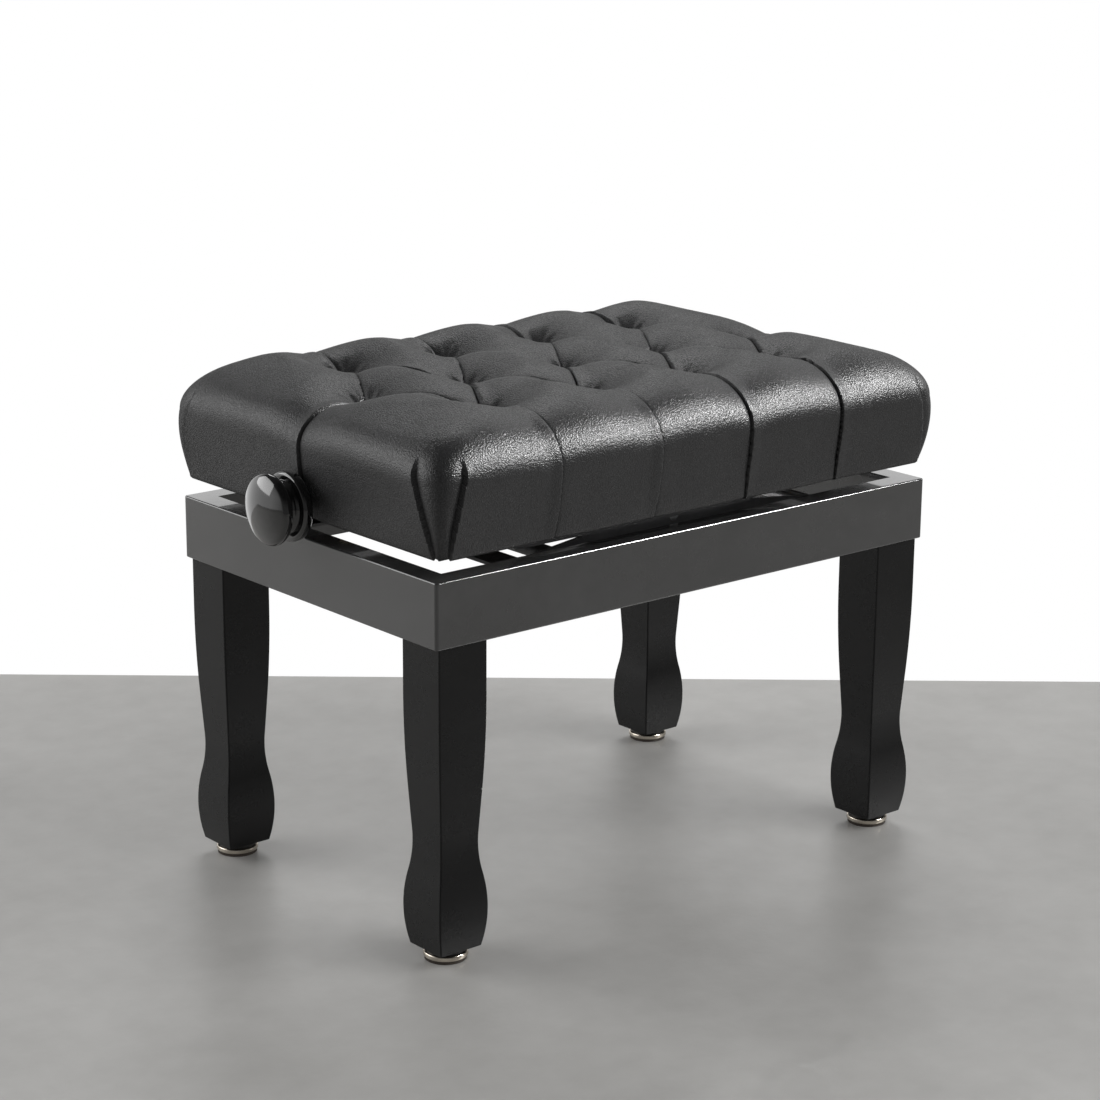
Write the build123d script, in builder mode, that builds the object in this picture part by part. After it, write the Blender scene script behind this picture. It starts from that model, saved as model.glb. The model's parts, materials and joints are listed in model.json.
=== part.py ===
"""Adjustable piano bench: lacquered frame on four shaped legs, scissor lift, deep tufted leather seat.

Millimetres, +Z up. The origin is on the floor under the middle of the bench. +X runs along its length,
towards the right hand end, and the long front side faces -Y. The bench is drawn at its lowest height.
"""
import os
from math import asin, cos, sin

from build123d import *

os.makedirs("parts", exist_ok=True)

# Apron, the box of four rails that the legs carry
apron_length = 570.0
apron_width = 370.0
apron_height = 57.0
apron_wall = 22.0
apron_edge_round = 1.5
apron_corner_round = 3.0

# Legs, square in section: half widths and heights above the leg's own bottom
leg_length = 269.5
leg_inset_x = 5.0
leg_inset_y = 3.0
leg_half_top = 24.8
leg_half_calf = 22.3
leg_half_ankle = 20.1
leg_half_instep = 22.6
leg_half_toe = 21.6
leg_straight_end = 223.0
leg_calf_height = 139.0
leg_ankle_height = 102.0
leg_instep_height = 66.0
leg_edge_round = 1.2

# Glides under the legs
glide_pad_thick = 2.5
glide_pad_radius = 18.0
glide_cup_thick = 5.0
glide_cup_radius = 19.2
glide_cup_round = 1.6
glide_spacer_thick = 4.5
glide_spacer_radius = 17.0
glide_stem_radius = 4.0
glide_stem_length = 24.0

# Corner blocks and the bolts that hold the legs
block_reach = 42.0
block_under_rail = 0.5
block_chamfer = 16.0
bolt_radius = 4.0
bolt_inward = 7.0
bolt_in_leg = 45.0
bolt_above_nut = 4.0
washer_radius = 9.0
washer_thick = 1.6
nut_across = 13.0
nut_thick = 6.5

# Heights of the seat over the apron
seat_gap = 16.5
cushion_height = 112.5

# Scissor lift: flat steel arms between rails under the seat and rails in the apron
arm_length = 400.0
arm_width = 22.0
arm_thick = 4.0
rest_drop = 50.0
lift_height = 100.0
layer_gap = 1.5
screw_above_hem = 13.0
pivot_radius = 5.0
pivot_head_radius = 8.0
pivot_head_thick = 2.0
spacer_radius = 8.0
slide_radius = 6.0
slide_end_room = 1.0
tie_tube_radius = 7.0
tie_tube_wall = 2.0
tie_tube_from_pivot = 70.0

# Steel angle rails of the lift
rail_thick = 3.0
rail_overhang = 19.0
base_rail_flange = 20.0
base_rail_above = 15.0
base_rail_below = 18.0
base_screw_from_slot = 22.0
cross_bar_spacing = 220.0
cross_bar_width = 30.0
top_rail_flange = 30.0
top_rail_below = 16.0
top_lip_below = 24.5
top_lip_start = -182.0
top_lip_end = 86.0
top_lip_slope = 8.0
top_screw_spacing = 170.0
top_screw_inward = 21.0

# Flat headed wood screws of the rails
wood_screw_radius = 2.0
wood_screw_head_radius = 4.2
wood_screw_head_thick = 2.4
wood_screw_length = 14.0

# Lead screw with a knob at each end
screw_radius = 6.0
nut_block_x = 30.0
nut_block_y = 34.0
nut_block_z = 24.0
nut_block_round = 2.0
bush_wall = 2.0
bush_flange_radius = 11.0
bush_flange_thick = 2.0
collar_radius = 11.0
collar_width = 8.0
collar_play = 0.2
knob_gap = 0.3
knob_ring_radius = 30.5
knob_ring_width = 10.5
knob_ring_round = 4.0
knob_waist_radius = 20.5
knob_neck_radius = 23.5
knob_waist_width = 10.0
knob_rim_radius = 31.0
knob_rim_width = 8.5
knob_rim_round = 4.0
knob_dome_height = 12.5
knob_bore_depth = 30.0
set_screw_radius = 2.5
set_screw_sunk = 5.0

# Wooden seat: a board on a skirt frame
board_thick = 15.0
skirt_wall = 15.0
skirt_height = 26.5
skirt_corner_round = 16.0

# Leather cushion: outline at its underside and at its widest, shoulders and tufts
bulge_past_end = 8.0
bulge_past_side = 13.0
bulge_height = 63.0
hem_draw = 9.5
corner_radius = 34.0
corner_margin = 2.0
shoulder_width = 81.0
end_shoulder_width = 97.0
end_shoulder_above = 4.0
tuft_columns = 5
tuft_from_end = 69.0
tuft_from_side = 98.0
tuft_depth = 19.0
past_tuft = 28.0
crown_drop = 2.0
crown_ridge = 0.02
pleat_drop = 9.0
pleat_draw = 3.0
end_pleat_drop = 9.0
leather_thick = 2.5
hem_turn = 13.0
shaft_hole_margin = 3.0

# Twine ties that pull the tufts down
tie_radius = 1.25
tie_button_radius = 6.0
tie_button_thick = 2.0
tie_short = 2.5

# Clearances
fit = 0.05
soft_gap = 0.3

# Heights and places that follow from the sizes above
glide_height = glide_pad_thick + glide_cup_thick + glide_spacer_thick
z_apron = glide_height + leg_length
z_apron_top = z_apron + apron_height
z_hem = z_apron_top + seat_gap
z_crest = z_hem + cushion_height
z_bulge = z_hem + bulge_height
z_screw = z_hem + screw_above_hem
z_low = z_screw - rest_drop
z_middle = (z_screw + z_low) / 2
z_skirt = z_hem + leather_thick
z_board = z_skirt + skirt_height
z_tuft = z_crest - tuft_depth

leg_x = apron_length / 2 - leg_inset_x - leg_half_top
leg_y = apron_width / 2 - leg_inset_y - leg_half_top
bolt_x = leg_x - bolt_inward
bolt_y = leg_y - bolt_inward
inside_x = apron_length / 2 - apron_wall
inside_y = apron_width / 2 - apron_wall

bulge_length = apron_length + 2 * bulge_past_end
bulge_width = apron_width + 2 * bulge_past_side
hem_length = bulge_length - 2 * hem_draw
hem_width = bulge_width - 2 * hem_draw
shoulder_x = bulge_length / 2 - end_shoulder_width
shoulder_y = bulge_width / 2 - shoulder_width
tuft_pitch = (bulge_length - 2 * tuft_from_end) / (tuft_columns - 1)
tuft_row_y = bulge_width / 2 - tuft_from_side

rest_angle = asin(rest_drop / arm_length)
top_angle = asin((rest_drop + lift_height) / arm_length)
pivot_x = arm_length / 2 * cos(rest_angle)
slide_travel = arm_length * (cos(rest_angle) - cos(top_angle))
rail_half = pivot_x + rail_overhang
block_height = z_low - base_rail_below - block_under_rail - z_apron
base_screw_x = pivot_x - slide_travel - base_screw_from_slot

# Distances of the lift's layers from the middle, from the apron's wall inwards
base_rail_out = inside_y
base_rail_in = base_rail_out - rail_thick
top_rail_out = base_rail_in - layer_gap
top_rail_in = top_rail_out - rail_thick
outer_arm_out = top_rail_in - layer_gap
outer_arm_in = outer_arm_out - arm_thick
inner_arm_out = outer_arm_in - layer_gap
inner_arm_in = inner_arm_out - arm_thick

skirt_half_x = hem_length / 2 - leather_thick - 2 * soft_gap
skirt_half_y = hem_width / 2 - leather_thick - 2 * soft_gap
knob_x = bulge_length / 2 + knob_gap
knob_length = knob_ring_width + knob_waist_width + knob_rim_width + knob_dome_height

front_back = {"front": -1, "back": 1}
left_right = {"left": -1, "right": 1}
corners = {
    f"{side}_{end}": (left_right[end], front_back[side]) for side in front_back for end in left_right
}


def side_plane(sign, outer, inner):
    """Plane across the bench whose sketch reads (x, z), to be extruded from one distance to the other."""
    return Plane(origin=(0, max(sign * outer, sign * inner), 0), x_dir=(1, 0, 0), z_dir=(0, -1, 0))


def end_plane(x):
    """Plane along the bench whose sketch reads (y, z)."""
    return Plane(origin=(x, 0, 0), x_dir=(0, 1, 0), z_dir=(1, 0, 0))


def write(piece, name):
    piece.part.label = name
    export_step(piece.part, f"parts/{name}.step")


# Apron rails, mitred at the corners
mitres = {
    "front": [(-apron_length / 2, -apron_width / 2), (apron_length / 2, -apron_width / 2),
              (inside_x, -inside_y), (-inside_x, -inside_y)],
    "back": [(apron_length / 2, apron_width / 2), (-apron_length / 2, apron_width / 2),
             (-inside_x, inside_y), (inside_x, inside_y)],
    "left": [(-apron_length / 2, apron_width / 2), (-apron_length / 2, -apron_width / 2),
             (-inside_x, -inside_y), (-inside_x, inside_y)],
    "right": [(apron_length / 2, -apron_width / 2), (apron_length / 2, apron_width / 2),
              (inside_x, inside_y), (inside_x, -inside_y)],
}
base_screw_places = [(i * base_screw_x, z_low) for i in (-1, 0, 1)]
for side, outline in mitres.items():
    with BuildPart() as apron_rail:
        with BuildSketch(Plane.XY.offset(z_apron)):
            RectangleRounded(apron_length, apron_width, apron_corner_round)
        extrude(amount=apron_height)
        outer_edges = apron_rail.faces().filter_by(Axis.Z).edges()
        fillet(outer_edges, radius=apron_edge_round)
        with BuildSketch(Plane.XY.offset(z_apron)):
            Rectangle(2 * inside_x, 2 * inside_y)
        extrude(amount=apron_height, mode=Mode.SUBTRACT)
        with BuildSketch(Plane.XY.offset(z_apron)):
            Polygon(*outline, align=None)
        extrude(amount=apron_height, mode=Mode.INTERSECT)
        if side in front_back:
            pilot = wood_screw_length - rail_thick + fit
            with BuildSketch(side_plane(front_back[side], inside_y + pilot, inside_y)):
                with Locations(*base_screw_places):
                    Circle(wood_screw_radius + fit)
            extrude(amount=pilot, mode=Mode.SUBTRACT)
    write(apron_rail, f"apron_{side}_rail")

# Legs: one outline seen from the front and one from the side, both cut into the same square post
z_toe = glide_height
leg_outlines = (
    ((1, 0, 0), (0, -1, 0), Mode.ADD),
    ((0, 1, 0), (1, 0, 0), Mode.INTERSECT),
)
for name, (sx, sy) in corners.items():
    with BuildPart() as leg:
        for across, facing, mode in leg_outlines:
            with BuildSketch(Plane(origin=(sx * leg_x, sy * leg_y, z_toe), x_dir=across, z_dir=facing)):
                with BuildLine():
                    toe = Line((0, 0), (leg_half_toe, 0))
                    post = Line((leg_half_top, leg_straight_end), (leg_half_top, leg_length))
                    calf = TangentArc(post @ 0, (leg_half_calf, leg_calf_height), tangent=(0, -1))
                    ankle = Line(calf @ 1, (leg_half_ankle, leg_ankle_height))
                    instep = TangentArc(ankle @ 1, (leg_half_instep, leg_instep_height), tangent=ankle % 1)
                    TangentArc(instep @ 1, toe @ 1, tangent=instep % 1)
                    Line(post @ 1, (0, leg_length))
                    mirror(about=Plane.YZ)
                make_face()
            extrude(amount=2 * leg_half_top, both=True, mode=mode)
        upright = [e for e in leg.edges() if e.bounding_box().size.Z > leg_half_top]
        fillet(upright, radius=leg_edge_round)
        with BuildSketch(Plane.XY.offset(z_apron)):
            with Locations((sx * bolt_x, sy * bolt_y)):
                Circle(bolt_radius + fit)
        extrude(amount=-bolt_in_leg - fit, mode=Mode.SUBTRACT)
        with BuildSketch(Plane.XY.offset(z_toe)):
            with Locations((sx * leg_x, sy * leg_y)):
                Circle(glide_stem_radius + fit)
        extrude(amount=glide_stem_length + fit, mode=Mode.SUBTRACT)
    write(leg, f"leg_{name}")

# Corner blocks inside the apron
for name, (sx, sy) in corners.items():
    near_x, far_x = inside_x - block_reach, inside_x
    near_y, far_y = inside_y - block_reach, inside_y
    with BuildPart() as block:
        with BuildSketch(Plane.XY.offset(z_apron)):
            Polygon(
                (sx * far_x, sy * far_y), (sx * near_x, sy * far_y),
                (sx * near_x, sy * (near_y + block_chamfer)), (sx * (near_x + block_chamfer), sy * near_y),
                (sx * far_x, sy * near_y), align=None)
        extrude(amount=block_height)
        with BuildSketch(Plane.XY.offset(z_apron)):
            with Locations((sx * bolt_x, sy * bolt_y)):
                Circle(bolt_radius + fit)
        extrude(amount=block_height, mode=Mode.SUBTRACT)
    write(block, f"corner_block_{name}")

# Leg bolts with their washers and nuts
z_block_top = z_apron + block_height
bolt_places = [(sx * bolt_x, sy * bolt_y) for sx, sy in corners.values()]
leg_places = [(sx * leg_x, sy * leg_y) for sx, sy in corners.values()]

with BuildPart() as leg_bolts:
    with BuildSketch(Plane.XY.offset(z_apron - bolt_in_leg)):
        with Locations(*bolt_places):
            Circle(bolt_radius)
    extrude(amount=bolt_in_leg + block_height + washer_thick + nut_thick + bolt_above_nut)
write(leg_bolts, "leg_bolts")

with BuildPart() as leg_washers:
    with BuildSketch(Plane.XY.offset(z_block_top)):
        with Locations(*bolt_places):
            Circle(washer_radius)
            Circle(bolt_radius + fit, mode=Mode.SUBTRACT)
    extrude(amount=washer_thick)
write(leg_washers, "leg_washers")

with BuildPart() as leg_nuts:
    with BuildSketch(Plane.XY.offset(z_block_top + washer_thick)):
        with Locations(*bolt_places):
            RegularPolygon(nut_across / 2, 6, major_radius=False)
            Circle(bolt_radius + fit, mode=Mode.SUBTRACT)
    extrude(amount=nut_thick)
write(leg_nuts, "leg_nuts")

# Glides: felt pad, plated cup and spacer with its stem
with BuildPart() as glide_pads:
    with BuildSketch():
        with Locations(*leg_places):
            Circle(glide_pad_radius)
    extrude(amount=glide_pad_thick)
write(glide_pads, "glide_pads")

with BuildPart() as glide_cups:
    with BuildSketch(Plane.XY.offset(glide_pad_thick)):
        with Locations(*leg_places):
            Circle(glide_cup_radius)
    extrude(amount=glide_cup_thick)
    rims = glide_cups.edges().group_by(Axis.Z)
    fillet(rims[0] + rims[-1], radius=glide_cup_round)
write(glide_cups, "glide_cups")

with BuildPart() as glide_spacers:
    with BuildSketch(Plane.XY.offset(glide_pad_thick + glide_cup_thick)):
        with Locations(*leg_places):
            Circle(glide_spacer_radius)
    extrude(amount=glide_spacer_thick)
    with BuildSketch(Plane.XY.offset(z_toe)):
        with Locations(*leg_places):
            Circle(glide_stem_radius)
    extrude(amount=glide_stem_length)
write(glide_spacers, "glide_spacers")

# Base rails: steel angles screwed to the inside of the apron, each with a pivot hole and a slot
for side, sign in front_back.items():
    with BuildPart() as base_rail:
        with BuildSketch(side_plane(sign, base_rail_out, base_rail_in)):
            with Locations((0, z_low + (base_rail_above - base_rail_below) / 2)):
                Rectangle(2 * rail_half, base_rail_above + base_rail_below)
            with Locations((-pivot_x, z_low)):
                Circle(pivot_radius + fit, mode=Mode.SUBTRACT)
            slot_length = slide_travel + 2 * slide_end_room
            with Locations((pivot_x + slide_end_room - slot_length / 2, z_low)):
                SlotCenterToCenter(slot_length, 2 * (slide_radius + fit), mode=Mode.SUBTRACT)
            with Locations(*base_screw_places):
                Circle(wood_screw_radius + fit, mode=Mode.SUBTRACT)
        extrude(amount=rail_thick)
        with BuildSketch(Plane.XY.offset(z_low - base_rail_below)):
            with Locations((0, sign * (base_rail_in - base_rail_flange / 2))):
                Rectangle(2 * pivot_x, base_rail_flange)
        extrude(amount=rail_thick)
    write(base_rail, f"base_rail_{side}")

for end, sign in left_right.items():
    with BuildPart() as cross_bar:
        with BuildSketch(Plane.XY.offset(z_low - base_rail_below)):
            with Locations((sign * cross_bar_spacing / 2, 0)):
                Rectangle(cross_bar_width, 2 * base_rail_in)
        extrude(amount=-rail_thick)
    write(cross_bar, f"base_cross_bar_{end}")

with BuildPart() as base_rail_screws:
    for sign in front_back.values():
        with BuildSketch(side_plane(sign, base_rail_in + wood_screw_length, base_rail_in)):
            with Locations(*base_screw_places):
                Circle(wood_screw_radius)
        extrude(amount=wood_screw_length)
        with BuildSketch(side_plane(sign, base_rail_in, base_rail_in - wood_screw_head_thick)):
            with Locations(*base_screw_places):
                Circle(wood_screw_head_radius)
        extrude(amount=wood_screw_head_thick)
write(base_rail_screws, "base_rail_screws")


def pivot_pins(name, x, z, outer, inner):
    """A pin on each side from the outer distance to the inner one, with a flat head past the inner end."""
    with BuildPart() as pins:
        for sign in front_back.values():
            with BuildSketch(side_plane(sign, outer, inner)):
                with Locations((x, z)):
                    Circle(pivot_radius)
            extrude(amount=outer - inner)
            with BuildSketch(side_plane(sign, inner, inner - pivot_head_thick)):
                with Locations((x, z)):
                    Circle(pivot_head_radius)
            extrude(amount=pivot_head_thick)
    write(pins, name)


def pivot_spacers(name, x, z, outer, inner):
    """A bush on each side that keeps a rail and an arm apart on their pin."""
    with BuildPart() as spacers:
        for sign in front_back.values():
            with BuildSketch(side_plane(sign, outer, inner)):
                with Locations((x, z)):
                    Circle(spacer_radius)
                    Circle(pivot_radius + fit, mode=Mode.SUBTRACT)
            extrude(amount=outer - inner)
    write(spacers, name)


pivot_pins("lower_pivot_pins", -pivot_x, z_low, base_rail_out, outer_arm_in - fit)
pivot_spacers("lower_pivot_spacers", -pivot_x, z_low, base_rail_in, outer_arm_out + fit)
pivot_pins("centre_pivot_pins", 0, z_middle, outer_arm_out, inner_arm_in - fit)
pivot_pins("upper_pivot_pins", -pivot_x, z_screw, top_rail_out, inner_arm_in - fit)
pivot_spacers("upper_pivot_spacers", -pivot_x, z_screw, top_rail_in, inner_arm_out + fit)

# Scissor arms: the outer pair rises to the right, the inner pair to the left
arm_pairs = (
    ("outer", 1, outer_arm_out, outer_arm_in),
    ("inner", -1, inner_arm_out, inner_arm_in),
)
arm_holes = ((-arm_length / 2, pivot_radius), (0, pivot_radius), (arm_length / 2, slide_radius))
for family, rise, outer, inner in arm_pairs:
    for side, sign in front_back.items():
        flat = side_plane(sign, outer, inner)
        tilted = Plane(origin=flat.origin + Vector(0, 0, z_middle),
                       x_dir=(cos(rest_angle), 0, rise * sin(rest_angle)), z_dir=flat.z_dir)
        with BuildPart() as arm:
            with BuildSketch(tilted):
                SlotCenterToCenter(arm_length, arm_width)
                for place, radius in arm_holes:
                    with Locations((place, 0)):
                        Circle(radius + fit, mode=Mode.SUBTRACT)
            extrude(amount=arm_thick)
        write(arm, f"{family}_arm_{side}")

with BuildPart() as outer_arm_tie:
    from_middle = tie_tube_from_pivot - arm_length / 2
    tie_place = (from_middle * cos(rest_angle), z_middle + from_middle * sin(rest_angle))
    with BuildSketch(side_plane(1, outer_arm_in, -outer_arm_in)):
        with Locations(tie_place):
            Circle(tie_tube_radius)
            Circle(tie_tube_radius - tie_tube_wall, mode=Mode.SUBTRACT)
    extrude(amount=2 * outer_arm_in)
write(outer_arm_tie, "outer_arm_tie")

with BuildPart() as lower_slide_rod:
    rod_half = base_rail_out - layer_gap / 2
    with BuildSketch(side_plane(1, rod_half, -rod_half)):
        with Locations((pivot_x, z_low)):
            Circle(slide_radius)
    extrude(amount=2 * rod_half)
write(lower_slide_rod, "lower_slide_rod")

# Top rails: steel angles screwed under the seat board, with a deeper lip along the middle
top_screw_y = top_rail_out - top_screw_inward
top_screw_places = [
    (i * top_screw_spacing, sign * top_screw_y) for i in (-1, 0, 1) for sign in front_back.values()
]
for side, sign in front_back.items():
    with BuildPart() as top_rail:
        with BuildSketch(side_plane(sign, top_rail_out, top_rail_in)):
            with BuildLine():
                Polyline(
                    (-rail_half, z_board), (-rail_half, z_screw - top_rail_below),
                    (top_lip_start - top_lip_slope, z_screw - top_rail_below),
                    (top_lip_start, z_screw - top_lip_below), (top_lip_end, z_screw - top_lip_below),
                    (top_lip_end + top_lip_slope, z_screw - top_rail_below),
                    (rail_half, z_screw - top_rail_below), (rail_half, z_board), close=True)
            make_face()
            with Locations((-pivot_x, z_screw)):
                Circle(pivot_radius + fit, mode=Mode.SUBTRACT)
            slot_length = slide_travel + 2 * slide_end_room
            with Locations((pivot_x + slide_end_room - slot_length / 2, z_screw)):
                SlotCenterToCenter(slot_length, 2 * (slide_radius + fit), mode=Mode.SUBTRACT)
        extrude(amount=rail_thick)
        with BuildSketch(Plane.XY.offset(z_board)):
            with Locations((0, sign * (top_rail_out - top_rail_flange / 2))):
                Rectangle(2 * rail_half, top_rail_flange)
            with Locations(*[p for p in top_screw_places if p[1] * sign > 0]):
                Circle(wood_screw_radius + fit, mode=Mode.SUBTRACT)
        extrude(amount=-rail_thick)
    write(top_rail, f"top_rail_{side}")

with BuildPart() as top_rail_screws:
    with BuildSketch(Plane.XY.offset(z_board - rail_thick)):
        with Locations(*top_screw_places):
            Circle(wood_screw_radius)
    extrude(amount=wood_screw_length)
    with BuildSketch(Plane.XY.offset(z_board - rail_thick)):
        with Locations(*top_screw_places):
            Circle(wood_screw_head_radius)
    extrude(amount=-wood_screw_head_thick)
write(top_rail_screws, "top_rail_screws")

# Nut block on the screw, with a rod to the arms on each side
with BuildPart() as nut_block:
    with BuildSketch(Plane.XY.offset(z_screw - nut_block_z / 2)):
        with Locations((pivot_x, 0)):
            RectangleRounded(nut_block_x, nut_block_y, nut_block_round)
    extrude(amount=nut_block_z)
    with BuildSketch(end_plane(pivot_x)):
        with Locations((0, z_screw)):
            Circle(screw_radius + fit)
    extrude(amount=nut_block_x, both=True, mode=Mode.SUBTRACT)
write(nut_block, "nut_block")

with BuildPart() as nut_rods:
    rod_out = top_rail_out + layer_gap / 2
    for sign in front_back.values():
        with BuildSketch(side_plane(sign, rod_out, nut_block_y / 2)):
            with Locations((pivot_x, z_screw)):
                Circle(slide_radius)
        extrude(amount=rod_out - nut_block_y / 2)
write(nut_rods, "nut_rods")

# Lead screw, its bushes in the skirt, thrust collars and knobs
screw_half = knob_x + knob_bore_depth - fit
with BuildPart() as lead_screw:
    with BuildSketch(end_plane(-screw_half)):
        with Locations((0, z_screw)):
            Circle(screw_radius)
    extrude(amount=2 * screw_half)
write(lead_screw, "lead_screw")

bush_radius = screw_radius + bush_wall
skirt_in_x = skirt_half_x - skirt_wall
for end, sign in left_right.items():
    with BuildPart() as bush:
        with BuildSketch(end_plane(sign * skirt_in_x)):
            with Locations((0, z_screw)):
                Circle(bush_radius)
                Circle(screw_radius + fit, mode=Mode.SUBTRACT)
        extrude(amount=sign * skirt_wall)
        with BuildSketch(end_plane(sign * skirt_in_x)):
            with Locations((0, z_screw)):
                Circle(bush_flange_radius)
                Circle(screw_radius + fit, mode=Mode.SUBTRACT)
        extrude(amount=-sign * bush_flange_thick)
    write(bush, f"screw_bush_{end}")

collar_x = skirt_in_x - bush_flange_thick - collar_play
with BuildPart() as thrust_collars:
    for sign in left_right.values():
        with BuildSketch(end_plane(sign * collar_x)):
            with Locations((0, z_screw)):
                Circle(collar_radius)
                Circle(screw_radius + fit, mode=Mode.SUBTRACT)
        extrude(amount=-sign * collar_width)
write(thrust_collars, "thrust_collars")

set_screw_place = knob_ring_width + knob_waist_width / 2
for end, sign in left_right.items():
    outward = Plane(origin=(sign * knob_x, 0, z_screw), x_dir=(0, 0, 1), z_dir=(0, sign, 0))
    with BuildPart() as knob:
        with BuildSketch(outward):
            with BuildLine():
                back = Line((0, 0), (knob_ring_radius - knob_ring_round, 0))
                ring_in = RadiusArc(back @ 1, (knob_ring_radius, knob_ring_round), -knob_ring_round)
                ring = Line(ring_in @ 1, (knob_ring_radius, knob_ring_width - knob_ring_round))
                ring_out = RadiusArc(
                    ring @ 1, (knob_ring_radius - knob_ring_round, knob_ring_width), -knob_ring_round)
                step = Line(ring_out @ 1, (knob_neck_radius, knob_ring_width))
                neck = (knob_neck_radius, knob_ring_width + knob_waist_width)
                waist = ThreePointArc(step @ 1, (knob_waist_radius, set_screw_place), neck)
                under = Line(waist @ 1, (knob_rim_radius - knob_rim_round, neck[1]))
                rim_in = RadiusArc(under @ 1, (knob_rim_radius, neck[1] + knob_rim_round), -knob_rim_round)
                rim = Line(rim_in @ 1, (knob_rim_radius, neck[1] + knob_rim_width))
                dome = TangentArc((0, knob_length), rim @ 1, tangent=(1, 0))
                Line(dome @ 0, back @ 0)
            make_face()
        revolve(axis=Axis((sign * knob_x, 0, z_screw), (1, 0, 0)))
        with BuildSketch(end_plane(sign * knob_x)):
            with Locations((0, z_screw)):
                Circle(screw_radius + fit)
        extrude(amount=sign * knob_bore_depth, mode=Mode.SUBTRACT)
        with BuildSketch(Plane.XY.offset(z_screw)):
            with Locations((sign * (knob_x + set_screw_place), 0)):
                Circle(set_screw_radius + fit)
        extrude(amount=knob_ring_radius, mode=Mode.SUBTRACT)
    write(knob, f"knob_{end}")

with BuildPart() as knob_set_screws:
    with BuildSketch(Plane.XY.offset(z_screw + screw_radius)):
        with Locations(*[(sign * (knob_x + set_screw_place), 0) for sign in left_right.values()]):
            Circle(set_screw_radius)
    extrude(amount=knob_waist_radius - screw_radius - set_screw_sunk)
write(knob_set_screws, "knob_set_screws")

# Seat board and its skirt frame
tuft_places = [((i - (tuft_columns - 1) / 2) * tuft_pitch, 0) for i in range(tuft_columns)]
tuft_places += [
    ((i - (tuft_columns - 2) / 2) * tuft_pitch, sign * tuft_row_y)
    for sign in front_back.values() for i in range(tuft_columns - 1)
]

with BuildPart() as seat_board:
    with BuildSketch(Plane.XY.offset(z_board)):
        RectangleRounded(2 * skirt_half_x, 2 * skirt_half_y, skirt_corner_round)
        with Locations(*tuft_places):
            Circle(tie_radius + fit, mode=Mode.SUBTRACT)
    extrude(amount=board_thick)
    with BuildSketch(Plane.XY.offset(z_board)):
        with Locations(*top_screw_places):
            Circle(wood_screw_radius + fit)
    extrude(amount=wood_screw_length - rail_thick + fit, mode=Mode.SUBTRACT)
write(seat_board, "seat_board")

skirt_in_y = skirt_half_y - skirt_wall
skirt_spans = {
    "front": (0, -(skirt_half_y + skirt_in_y) / 2, 2 * skirt_half_x, skirt_wall),
    "back": (0, (skirt_half_y + skirt_in_y) / 2, 2 * skirt_half_x, skirt_wall),
    "left": (-(skirt_half_x + skirt_in_x) / 2, 0, skirt_wall, 2 * skirt_in_y),
    "right": ((skirt_half_x + skirt_in_x) / 2, 0, skirt_wall, 2 * skirt_in_y),
}
for side, (x, y, length, width) in skirt_spans.items():
    with BuildPart() as skirt:
        with BuildSketch(Plane.XY.offset(z_skirt)):
            RectangleRounded(2 * skirt_half_x, 2 * skirt_half_y, skirt_corner_round)
            with Locations((x, y)):
                Rectangle(length, width, mode=Mode.INTERSECT)
        extrude(amount=skirt_height)
        if side in left_right:
            with BuildSketch(end_plane(x)):
                with Locations((0, z_screw)):
                    Circle(bush_radius + fit)
            extrude(amount=skirt_wall, both=True, mode=Mode.SUBTRACT)
    write(skirt, f"seat_skirt_{side}")


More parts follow.
